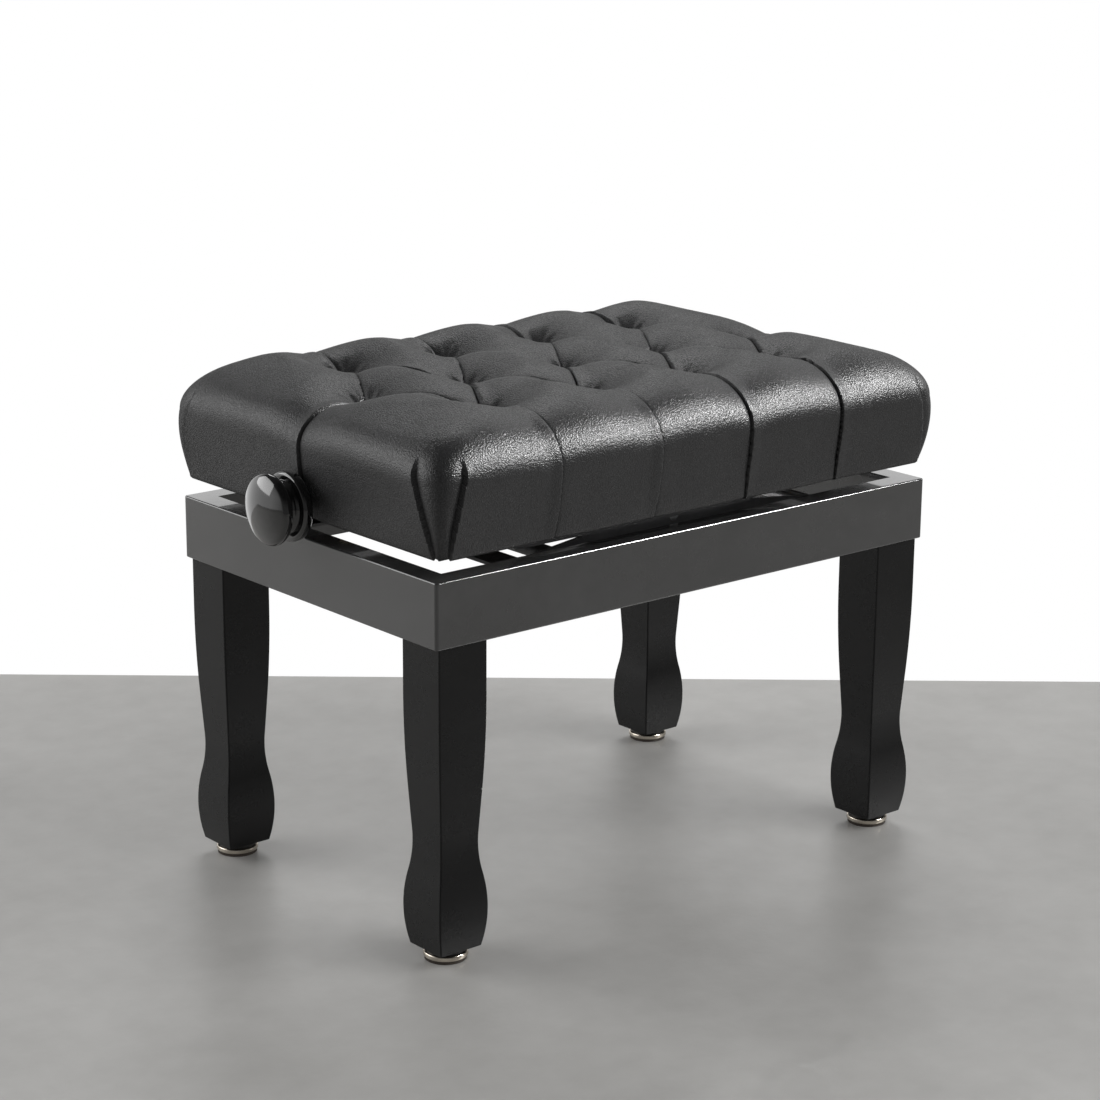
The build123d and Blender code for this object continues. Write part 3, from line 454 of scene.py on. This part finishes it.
def cushionSurface(c):
    # the base form, with a and b the shares of the shoulder's width past the flat middle: height falls as a
    # quarter ellipse of q, where exp(k q) = exp(k a) + exp(k b) - 1 rounds the corners off; a grid covers the
    # top as far as one value of q, and rings of equal q go on from its border down to the hem
    long, wide, rim = c["cellsLong"], c["cellsWide"], c["cellsRim"]
    shares, draws, ups, outs, lengths = shoulderProfile(c)
    shoulder = slice(c["profilePoints"][0])
    first = np.interp(c["topShare"], shares[shoulder], lengths[shoulder])
    ringLength = np.linspace(first, lengths[-1], rim + 1)
    i, j = np.meshgrid(np.arange(long + 2 * rim + 1), np.arange(wide + 2 * rim + 1), indexing="ij")
    offX = np.maximum(np.maximum(rim - i, i - rim - long), 0)
    offY = np.maximum(np.maximum(rim - j, j - rim - wide), 0)
    ring = np.maximum(offX, offY)
    onEnd, onTop = offX >= offY, ring == 0
    run = ringLength[ring]
    share, draw, up, out = [np.interp(run, lengths, values) for values in (shares, draws, ups, outs)]
    below = np.clip((c["widest"] - up) / (c["widest"] - c["hem"]), 0, 1)
    k = c["cornerTop"] + (c["cornerHem"] - c["cornerTop"]) * below
    flatX = c["halfLength"] - c["shoulderEnd"] - draw
    flatY = c["halfWidth"] - c["shoulderSide"] - draw
    whole = np.exp(k * share) + 1
    diagonal = np.log(whole / 2) / k
    fi, fj = i - rim - long / 2, j - rim - wide / 2
    signX, signY = np.sign(fi), np.sign(fj)
    farX, farY = flatX + c["shoulderEnd"] * diagonal, flatY + c["shoulderSide"] * diagonal
    x, y = fi / (long / 2 + ring) * farX, fj / (wide / 2 + ring) * farY
    lines = pleatLines(c, c["halfLength"] + c["pastHem"], c["halfWidth"] + c["pastHem"])
    seamEnd, seamSide = cornerSeams(c, up)
    # grid lines gather beside the pleats and corner seams, so that folds are crisp
    top = np.stack([x, y], -1)[onTop]
    along, distance, side, offset, length = fromLines(top, lines[0], lines[1])
    near, pick = distance.argmin(0), np.arange(len(top))
    pull = c["gather"] * np.exp(-(distance[near, pick] / c["gatherReach"]) ** 2)
    moved = top - pull[:, None] * offset[near, pick]
    border = np.abs(np.abs(top) - np.stack([farX, farY], -1)[onTop]) < touching
    moved = np.where(border, top, moved)
    for line in tuftPlaces(c)[1]:
        x = gathered(c, x, line)
    y = gathered(c, y, 0.0)
    seamed = np.clip((c["dartTop"] + c["dartFade"] - up) / c["dartFade"], 0, 1)
    x = signX * gathered(c, np.abs(x), c["halfLength"] - draw - seamSide, seamed * (offY > 0))
    y = signY * gathered(c, np.abs(y), c["halfWidth"] - draw - seamEnd, seamed * (offX > 0))
    x[onTop], y[onTop] = moved[:, 0], moved[:, 1]
    # each point goes onto its ring
    a = np.maximum(np.abs(x) - flatX, 0) / c["shoulderEnd"]
    b = np.maximum(np.abs(y) - flatY, 0) / c["shoulderSide"]
    ringX = signX * (flatX + c["shoulderEnd"] * np.log(whole - np.exp(k * np.minimum(b, diagonal))) / k)
    ringY = signY * (flatY + c["shoulderSide"] * np.log(whole - np.exp(k * np.minimum(a, diagonal))) / k)
    topX = x * np.abs(ringX) / farX
    topY = y * np.abs(ringY) / farY
    x = np.where(onTop, topX, np.where(onEnd, ringX, x))
    y = np.where(onTop, topY, np.where(onEnd, y, ringY))
    a = np.maximum(np.abs(x) - flatX, 0) / c["shoulderEnd"]
    b = np.maximum(np.abs(y) - flatY, 0) / c["shoulderSide"]
    q = np.log(np.exp(k * a) + np.exp(k * b) - 1) / k
    share = np.where(onTop, np.minimum(q, c["topShare"]), share)
    run = np.where(onTop, np.interp(share, shares[shoulder], lengths[shoulder]), run)
    up = np.where(onTop, np.interp(run, lengths, ups), up)
    out = np.where(onTop, np.interp(run, lengths, outs), out)
    # leather laid flat: distances over the top and on down the side
    away = np.stack([np.sign(x) * np.exp(k * a) * (a > 0) / c["shoulderEnd"],
                     np.sign(y) * np.exp(k * b) * (b > 0) / c["shoulderSide"]], -1)
    away = away / np.maximum(np.linalg.norm(away, axis=-1, keepdims=True), tiny)
    plan = np.stack([x, y], -1)
    laid = plan + away * (run - out)[..., None]
    # how far inside the corner seams, which don't reach the top
    inSeam = np.where(onEnd, seamEnd - (c["halfWidth"] - draw - np.abs(y)),
                      seamSide - (c["halfLength"] - draw - np.abs(x)))
    noSeam = -99.0
    return {"base": np.concatenate([plan, up[..., None]], -1), "laid": laid, "toHem": lengths[-1] - run,
            "inSeam": np.where(onTop, noSeam, inSeam), "lines": lines}


def surfaceNormals(points):
    # outward direction at each grid point, from the differences along both grid directions
    across = np.gradient(points, axis=0)
    down = np.gradient(points, axis=1)
    normal = np.cross(across, down)
    return normal / np.maximum(np.linalg.norm(normal, axis=-1, keepdims=True), tiny)


def tuftedForm(c, surface):
    # pads sink towards the pleats by a power of the distance, deepest at the tufts, and the valleys join as
    # log(1 + sum(exp - 1)); folds lift one side of each pleat and cut into the other, and wrinkles fan out of
    # the tufts as a cosine of the angle
    base, laid = surface["base"], surface["laid"]
    shape = laid.shape[:2]
    points = laid.reshape(-1, 2)
    start, end, kind, upper = surface["lines"]
    along, distance, side, offset, length = fromLines(points, start, end)
    away, left = along * length[:, None], (1 - along) * length[:, None]
    isBetween = kind[:, None] == 0
    between = c["pleatDepth"] + (c["tuftDepth"] - c["pleatDepth"]) * np.abs(2 * along - 1) ** c["pleatPower"]
    toEdge = c["edgeDepth"] + (c["tuftDepth"] - c["edgeDepth"]) * np.exp(-away / c["edgeFade"])
    valley = np.where(isBetween, between, toEdge) * np.clip(1 - distance / c["padReach"], 0, 1) ** c["padPower"]
    sink = np.log1p((np.expm1(c["padJoin"] * valley)).sum(0)) / c["padJoin"]
    middle, rows = tuftPlaces(c)
    tufts = np.concatenate([np.stack([middle, np.zeros_like(middle)], -1),
                            np.stack([rows, np.full_like(rows, c["rowY"])], -1),
                            np.stack([rows, np.full_like(rows, -c["rowY"])], -1)])
    rel = points[None] - tufts[:, None]
    fromTuft = np.linalg.norm(rel, axis=-1)
    sink = sink + (c["pinch"] * np.exp(-(fromTuft / c["pinchReach"]) ** 2)).sum(0)
    angle = np.arctan2(rel[..., 1], rel[..., 0])
    phase = np.arange(len(tufts))[:, None] * c["wrinkleTurn"]
    sway, swayCount = c["wrinkleSway"]
    ring, ringWidth = c["wrinkleRing"]
    fan = np.cos(c["wrinkleCount"] * angle + phase + sway * np.sin(swayCount * angle + phase))
    band = np.exp(-((fromTuft - ring) / ringWidth) ** 2)
    sink = sink + (c["wrinkle"] * fan * band).sum(0)
    # folds, only beside their own pleat and not at the tufts
    over = side * upper[:, None]
    keep = np.clip(away / c["foldFade"], 0, 1) * np.where(isBetween, np.clip(left / c["foldFade"], 0, 1), 1)
    keep = keep * (np.abs(distance - np.abs(side)) < touching)
    lift = c["lip"] * np.exp(-(over / c["lipReach"]) ** 2) * (over > 0)
    cut = c["crease"] * np.exp(-(over / c["creaseReach"]) ** 2) * (over <= 0)
    sink = sink - ((lift - cut) * keep).sum(0)
    run = (end - start) / length[:, None]
    acrossLine = np.stack([-run[:, 1], run[:, 0]], -1) * upper[:, None]
    slide = c["overhang"] * np.exp(-(over / c["overhangReach"]) ** 2) * (over > 0) * keep
    shift = -(slide[..., None] * acrossLine[:, None]).sum(0)
    # the narrow panel between two corner seams lies lower, most beside the seams
    inSeam = surface["inSeam"]
    dart = np.where(inSeam > 0, c["dartDepth"] * np.exp(-np.maximum(inSeam, 0) / c["dartReach"]),
                    -c["dartLip"] * np.exp(np.minimum(inSeam, 0) / c["dartReach"]))
    fade = np.clip((c["dartTop"] + c["dartFade"] - base[..., 2]) / c["dartFade"], 0, 1)
    flatten = c["hemKeep"] + (1 - c["hemKeep"]) * np.clip(surface["toHem"] / c["hemFade"], 0, 1)
    sink = (sink.reshape(shape) + dart * fade) * flatten
    normal = surfaceNormals(base)
    moved = base - sink[..., None] * normal
    shift = shift.reshape(*shape, 2) * flatten[..., None]
    moved[..., :2] += shift * (np.abs(normal[..., :2]) < c["overhangSteep"])
    return moved


def borderIndex(rows, columns):
    # grid indices round the border, in order
    grid = np.arange(rows * columns).reshape(rows, columns)
    return np.concatenate([grid[:-1, 0], grid[-1, :-1], grid[:0:-1, -1], grid[0, :0:-1]])


def closedCushion(c, form):
    # the tufted surface, then rings from its border: in under the skirt, up by the leather, out to the
    # skirt's outside, up past the board, and one flat face on the board
    rows, columns = form.shape[:2]
    points = form.reshape(-1, 3)
    border = borderIndex(rows, columns)
    rim = points[border]
    half = np.array([c["halfLength"] - c["hemDraw"], c["halfWidth"] - c["hemDraw"]]) - c["hemRound"]

    def pushed(amount, height):
        inward = rim.copy()
        inward[:, :2] = rim[:, :2] * (half - amount) / half
        inward[:, 2] = height
        return inward

    boardTop = (Vector(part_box("seat_board")[1]) / mm).z + c["boardGap"]
    edge, low, high = c["turnUnder"], c["hem"], c["hem"] + c["leather"]
    rings = [pushed(edge / 2, low), pushed(edge, low), pushed(edge, high),
             pushed(-c["skirtGap"], high), pushed(-c["skirtGap"], boardTop)]
    outward = [0, 3, 2, 1]                        # order of each quad's corners, so that it faces out
    faces = np.array(gridFaces(rows, columns))[:, outward].tolist()
    last = border
    for index in range(len(rings)):
        here = np.arange(len(border)) + rows * columns + index * len(border)
        faces += np.stack([here, np.roll(here, -1), np.roll(last, -1), last], -1).tolist()
        last = here
    faces.append(last[::-1].tolist())
    return np.concatenate([points, *rings]) * mm, faces


def spreadOut(values):
    # one more point between each two of a grid, halfway between them, in both directions
    rows, columns = values.shape[:2]
    whole = np.zeros((2 * rows - 1, 2 * columns - 1, values.shape[2]))
    whole[::2, ::2] = values
    whole[1::2, ::2] = (values[1:] + values[:-1]) / 2
    whole[:, 1::2] = (whole[:, 2::2] + whole[:, :-1:2]) / 2
    return whole


def swelled(c, surface, form):
    # every fourth grid point is closed to a bag of cloth under pressure, held along the pleats, tufts and hem;
    # how far its points move, eased off towards a cap and evened out, is spread back onto the full grid
    some = (slice(None, None, 4), slice(None, None, 4))
    coarse = form[some]
    points, faces = closedCushion(c, coarse)
    bag = addMesh("seatBag", points, faces, finishes["leather"])
    laid = surface["laid"][some].reshape(-1, 2)
    distance = fromLines(laid, *surface["lines"][:2])[1].min(0)
    toHem = surface["toHem"][some].ravel()
    inSeam = np.abs(surface["inSeam"][some].ravel())
    fixed = (distance < c["held"]) | (toHem < 2 * c["held"]) | (inSeam < c["held"])
    held = np.concatenate([np.flatnonzero(fixed), np.arange(len(laid), len(points))])
    bag.vertex_groups.new(name="held").add(held.tolist(), 1.0, "REPLACE")
    cloth = bag.modifiers.new("cloth", "CLOTH")
    cloth.settings.vertex_group_mass = "held"
    cloth.settings.use_pressure = True
    cloth.settings.uniform_pressure_force = c["pressure"]
    cloth.settings.effector_weights.gravity = 0.0
    cloth.settings.quality = c["quality"]
    cloth.settings.tension_stiffness = c["stretch"]
    cloth.settings.compression_stiffness = c["stretch"]
    cloth.settings.bending_stiffness = c["bend"]
    cloth.collision_settings.use_collision = False
    cloth.point_cache.frame_end = c["frames"]
    for frameNumber in range(1, c["frames"] + 1):
        bpy.context.scene.frame_set(frameNumber)
    blown = bag.evaluated_get(bpy.context.evaluated_depsgraph_get()).to_mesh()
    after = np.empty(3 * len(points))
    blown.vertices.foreach_get("co", after)
    moved = after.reshape(-1, 3)[:len(laid)] / mm - coarse.reshape(-1, 3)
    size = np.linalg.norm(moved, axis=1, keepdims=True)
    print("cloth moved up to", round(float(size.max()), 2), "mm, mean", round(float(size.mean()), 2))
    moved = moved * c["swellCap"] * np.tanh(size / c["swellCap"]) / np.maximum(size, tiny)
    moved = np.where(fixed[:, None], 0.0, moved).reshape(coarse.shape)
    for turn in range(c["evened"]):
        inner = moved[1:-1, 1:-1]
        around = moved[2:, 1:-1] + moved[:-2, 1:-1] + moved[1:-1, 2:] + moved[1:-1, :-2]
        moved[1:-1, 1:-1] = (inner + around / 4) / 2
    bpy.context.scene.frame_set(1)
    bpy.data.objects.remove(bag)
    return form + spreadOut(spreadOut(moved))


surface = cushionSurface(cushion)
form = tuftedForm(cushion, surface)
form = swelled(cushion, surface, form)
seatPoints, seatFaces = closedCushion(cushion, form)
seatCushion = addMesh("seatCushion", seatPoints, seatFaces, finishes["leather"])
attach(seatCushion, "seat")
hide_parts("leather_cover", "foam_core")
print("seat cushion:", len(seatPoints), "points")


# Turned knobs

knob = {
    "inner": -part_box("knob_left")[1].x / mm,      # from the middle of the bench to the knob's inner face
    "height": (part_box("lead_screw")[0].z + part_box("lead_screw")[1].z) / 2 / mm,
    "bore": (6.05, 30.0),                         # radius and depth
    "ring": (30.5, 10.5, 4.0),                    # radius, width and rounding
    "neck": 23.5, "waist": (20.5, 10.0),          # radius beside the waist, then the waist's radius and width
    "rim": (31.0, 4.0, 6.0),                      # radius, back and front rounding
    "dome": math.radians(28.0), "tip": 37.5,      # slope of the dome at its edge, and the whole length
    "screwHole": (2.55, 15.5, 7.0, 30.0),         # radius, place along the knob, from and to radius
    "turns": 144, "holeTurns": 32,
    "roundPoints": 10, "frontPoints": 12, "waistPoints": 17, "domePoints": 20,
    "crisp": math.radians(35.0),                  # edges sharper than this aren't smoothed
}


def arc(middle, radius, first, last, count):
    # points of a circle between two angles, counted from the knob's axis
    angle = np.radians(np.linspace(first, last, count))
    return list(zip(middle[0] + radius * np.cos(angle), middle[1] + radius * np.sin(angle)))


def knobProfile(k):
    # length and radius from the bottom of the bore round the ring, the waist and the rim to the tip: the waist
    # is one wave of a cosine, and the dome a sphere that meets the rim's rounding at its own slope
    bore, boreDepth = k["bore"]
    ring, ringWidth, ringRound = k["ring"]
    waist, waistWidth = k["waist"]
    rim, backRound, frontRound = k["rim"]
    slope = k["dome"]
    back = ringWidth + waistWidth
    sphere = (rim - frontRound * (1 - math.sin(slope))) / math.sin(slope)
    front = k["tip"] - sphere * (1 - math.cos(slope)) - frontRound * math.cos(slope)
    points = [(boreDepth, 0.0), (boreDepth, bore), (0.0, bore)]
    points += arc((ringRound, ring - ringRound), ringRound, 180, 90, k["roundPoints"])
    points += arc((ringWidth - ringRound, ring - ringRound), ringRound, 90, 0, k["roundPoints"])
    share = np.linspace(0, 1, k["waistPoints"])
    points += list(zip(ringWidth + waistWidth * share,
                       k["neck"] - (k["neck"] - waist) * (1 - np.cos(2 * np.pi * share)) / 2))
    points += arc((back + backRound, rim - backRound), backRound, 180, 90, k["roundPoints"])
    points += arc((front, rim - frontRound), frontRound, 90, math.degrees(slope), k["frontPoints"])
    fall = np.linspace(slope, 0, k["domePoints"])[1:]
    points += list(zip(k["tip"] - sphere * (1 - np.cos(fall)), sphere * np.sin(fall)))
    return np.array(points)


def turned(profile, count, start, along, across, dip=0.0):
    # a profile of length and radius, less a dip, carried round an axis and closed by one point at each end
    angle = np.linspace(0, 2 * np.pi, count, endpoint=False)[:, None]
    spokes = np.cos(angle) * across + np.sin(angle) * np.cross(along, across)
    middle = start + profile[:, :1] * along
    radius = profile[1:-1, 1:] - dip
    grid = middle[1:-1, None] + radius[:, :, None] * spokes
    points = np.concatenate([grid.reshape(-1, 3), middle[:1], middle[-1:]])
    rows = len(profile) - 2
    here = np.arange(count)
    there = (here + 1) % count
    onLast = (rows - 1) * count
    faces = gridFaces(rows, count, closed=True)
    faces += np.stack([there, here, np.full(count, rows * count)], -1).tolist()
    faces += np.stack([here + onLast, there + onLast, np.full(count, rows * count + 1)], -1).tolist()
    return points * mm, faces


def cutBy(piece, cutter):
    # the piece without the space of the cutter, which goes
    cut = piece.modifiers.new("cut", "BOOLEAN")
    cut.operation, cut.solver, cut.object = "DIFFERENCE", "EXACT", cutter
    piece.data = bpy.data.meshes.new_from_object(piece.evaluated_get(bpy.context.evaluated_depsgraph_get()))
    piece.modifiers.clear()
    bpy.data.objects.remove(cutter)


def addKnob(k, side, name, node):
    # the profile turned round the screw's axis, less the upright hole of its set screw
    along, across, up = np.array([side, 0.0, 0.0]), np.array([0.0, 1.0, 0.0]), np.array([0.0, 0.0, 1.0])
    start = np.array([side * k["inner"], 0.0, k["height"]])
    lacquer = finishes["black_gloss"]
    piece = addMesh(name, *turned(knobProfile(k), k["turns"], start, along, across), lacquer)
    radius, place, low, high = k["screwHole"]
    hole = np.array([(low, 0.0), (low, radius), (high, radius), (high, 0.0)])
    cutBy(piece, addMesh("cutter", *turned(hole, k["holeTurns"], start + place * along, up, across), lacquer))
    piece.data.name = name
    piece.data.set_sharp_from_angle(angle=k["crisp"])
    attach(piece, "screw")
    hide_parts(node)


addKnob(knob, -1, "turnedKnobLeft", "knob_left")
addKnob(knob, 1, "turnedKnobRight", "knob_right")
print("knobs turned")


# Threaded lead screw

leadScrew = {
    "half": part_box("lead_screw")[1].x / mm, "radius": 6.0, "height": knob["height"],
    "pitch": 3.0, "starts": 2, "cut": 0.85,       # two starts of 3 mm give a lead of 6 mm
    "thread": (125.0, 248.0), "runOut": 2.0,      # where the nut works, from the middle of the bench
    "flank": 1.6, "crest": 0.3,                   # steepness of the thread's sides and width of its crest
    "chamfer": 1.0, "perPitch": 10, "turns": 40, "crisp": math.radians(35.0),
}


def addLeadScrew(t):
    # a chamfered rod whose radius dips by a wave of the phase length / pitch - starts * angle / turn: a
    # triangle flattened at crest and root, which runs out at both ends of the thread
    first, last = t["thread"]
    rows = np.arange(first, last, t["pitch"] / t["perPitch"])
    end = np.array([(t["half"], 0.0), (t["half"], t["radius"] - t["chamfer"]),
                    (t["half"] - t["chamfer"], t["radius"])])
    between = np.column_stack([rows, np.full(len(rows), t["radius"])])
    profile = np.concatenate([end * (-1, 1), between, end[::-1]])
    length = profile[1:-1, :1]
    angle = np.linspace(0, 2 * np.pi, t["turns"], endpoint=False)
    phase = (length / t["pitch"] - t["starts"] * angle / (2 * np.pi)) % 1.0
    wave = np.clip(t["flank"] * (1 - np.abs(2 * phase - 1)) - t["crest"], 0, 1)
    fade = np.clip(np.minimum(length - first, last - length) / t["runOut"], 0, 1)
    along, across = np.array([1.0, 0.0, 0.0]), np.array([0.0, 1.0, 0.0])
    start = np.array([0.0, 0.0, t["height"]])
    rod = turned(profile, t["turns"], start, along, across, dip=t["cut"] * wave * fade)
    piece = addMesh("leadScrew", *rod, finishes["zinc_steel"])
    piece.data.set_sharp_from_angle(angle=t["crisp"])
    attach(piece, "screw")
    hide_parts("lead_screw")


addLeadScrew(leadScrew)
print("lead screw threaded")


# Floor, light and camera

floorPlan = {"front": 3.0, "side": 3.5, "behind": 0.479}   # metres from the bench's middle, along the view
view = {
    "azimuth": math.radians(-40.041), "elevation": math.radians(15.312), "roll": math.radians(0.394),
    "place": (-1.58268, -1.87015, 0.94927), "focalPixels": 2771.0, "framePixels": 1100.0,
    "sensor": 36.0, "farthest": 50.0,
}
studio = {
    "whiteSide": (-0.148, 0.989, 0.0),                # where reflections find the white wall
    "wallEdge": (-0.1, 0.5), "wallDark": 0.15,        # turned from it by this cosine, it fades to this
    "wallTop": (0.2, 0.6), "overhead": 0.07,          # at this height it fades to this
    "light": 0.36,                                    # soft light from all round
}
lamps = {                                             # metres, watts and degrees
    "keyLight": {"place": (1.45, -1.25, 1.65), "aim": (0.0, -0.15, 0.43), "size": (0.6, 0.6),
                 "power": 18.0, "spread": 75.0, "soft": False},    # only the highlight on the seat's front
    "frontLight": {"place": (1.3, -2.2, 2.1), "aim": (0.2, 0.0, 0.2), "size": (2.4, 2.4),
                   "power": 46.0, "gloss": False},
    "backLight": {"place": (1.4, 1.6, 1.9), "aim": (0.2, 0.0, 0.3), "size": (1.6, 0.8), "power": 17.0},
    "sideLight": {"place": (-1.8, 1.7, 1.5), "aim": (-0.3, 0.2, 0.2), "size": (2.0, 1.6), "power": 27.0},
}


def paleFloor():
    # pale grey screed, cloudy and a little polished
    material, tree, shader, place = newMaterial("paleFloor")
    cloud = useGroup(tree, "mottle", place, Scale=5.0)
    addBase(tree, shader, cloud.outputs["Value"], (0.41, 0.403, 0.389), (0.49, 0.483, 0.468))
    addClouds(tree, shader, place, 14.0, 0.36, 0.46)
    speck = useGroup(tree, "mottle", place, Scale=160.0)
    addBump(tree, shader, speck.outputs["Value"], 0.12, 0.001)
    return material


def addFloor(f, azimuth):
    # a flat rectangle whose far edge lies square to the view, behind the bench
    ahead = np.array([-math.sin(azimuth), math.cos(azimuth), 0.0])
    right = np.array([ahead[1], -ahead[0], 0.0])
    far, near, side = f["behind"] * ahead, -f["front"] * ahead, f["side"] * right
    points = np.array([far - side, near - side, near + side, far + side])
    floor = addMesh("floor", points, [[0, 1, 2, 3]], paleFloor(), smooth=False)


def addCamera(v):
    # the camera looks back along its own direction, turned by the roll about it
    a, e, r = v["azimuth"], v["elevation"], v["roll"]
    back = Vector((math.sin(a) * math.cos(e), -math.cos(a) * math.cos(e), math.sin(e)))
    right = (-back).cross(Vector((0, 0, 1))).normalized()
    up = right.cross(-back)
    tiltedRight = math.cos(r) * right + math.sin(r) * up
    tiltedUp = math.cos(r) * up - math.sin(r) * right
    data = bpy.data.cameras.new("camera")
    data.sensor_width = v["sensor"]
    data.lens = v["focalPixels"] / v["framePixels"] * data.sensor_width
    data.clip_end = v["farthest"]
    camera = bpy.data.objects.new("camera", data)
    bpy.context.scene.collection.objects.link(camera)
    facing = Matrix((tiltedRight, tiltedUp, back)).transposed().to_4x4()
    camera.matrix_world = Matrix.Translation(v["place"]) @ facing
    bpy.context.scene.camera = camera


def addLamp(name, place, aim, size, power, spread=180.0, soft=True, gloss=True):
    # a rectangle of light turned towards a point; soft lights surfaces, gloss shows in reflections
    data = bpy.data.lights.new(name, "AREA")
    data.shape = "RECTANGLE"
    data.size, data.size_y = size
    data.energy = power
    data.spread = math.radians(spread)
    lamp = bpy.data.objects.new(name, data)
    lamp.location = place
    lamp.rotation_euler = (Vector(aim) - Vector(place)).to_track_quat("-Z", "Y").to_euler()
    lamp.visible_diffuse, lamp.visible_glossy = soft, gloss
    bpy.context.scene.collection.objects.link(lamp)


def addWorld(s):
    # white to the camera, soft grey as light; reflections see it white behind the bench and to its left,
    # and dark overhead, to the right and behind the camera
    world = bpy.data.worlds.new("studio")
    bpy.context.scene.world = world
    world.use_nodes = True
    tree = world.node_tree
    background = tree.nodes["Background"]
    background.inputs["Color"].default_value = (1.0, 1.0, 1.0, 1.0)
    path = addNode(tree, "ShaderNodeLightPath")
    direction = addNode(tree, "ShaderNodeSeparateXYZ")
    around = addNode(tree, "ShaderNodeTexCoord").outputs["Generated"]
    tree.links.new(around, direction.inputs[0])
    low, high = s["wallTop"]
    mirrored = addNode(tree, "ShaderNodeMapRange",
                       **{"From Min": low, "From Max": high, "To Min": 1.0, "To Max": s["overhead"]})
    tree.links.new(direction.outputs["Z"], mirrored.inputs["Value"])
    ahead = addNode(tree, "ShaderNodeVectorMath", {"operation": "DOT_PRODUCT"})
    tree.links.new(around, ahead.inputs[0])
    ahead.inputs[1].default_value = s["whiteSide"]
    far, near = s["wallEdge"]
    behind = addNode(tree, "ShaderNodeMapRange",
                     **{"From Min": far, "From Max": near, "To Min": s["wallDark"], "To Max": 1.0})
    tree.links.new(ahead.outputs["Value"], behind.inputs["Value"])
    bright = mathNode(tree, "MULTIPLY", mirrored.outputs["Result"], behind.outputs["Result"])
    glossy = mathNode(tree, "MULTIPLY", path.outputs["Is Glossy Ray"], bright)
    seen = mathNode(tree, "MAXIMUM", path.outputs["Is Camera Ray"], path.outputs["Is Transmission Ray"])
    lit = mathNode(tree, "MULTIPLY", path.outputs["Is Diffuse Ray"], s["light"])
    strength = mathNode(tree, "MAXIMUM", mathNode(tree, "MAXIMUM", seen, glossy), lit)
    tree.links.new(strength, background.inputs["Strength"])


bpy.context.scene.view_settings.view_transform = "Standard"
addFloor(floorPlan, view["azimuth"])
addCamera(view)
addWorld(studio)
for name, lamp in lamps.items():
    addLamp(name, **lamp)
print("stage set")
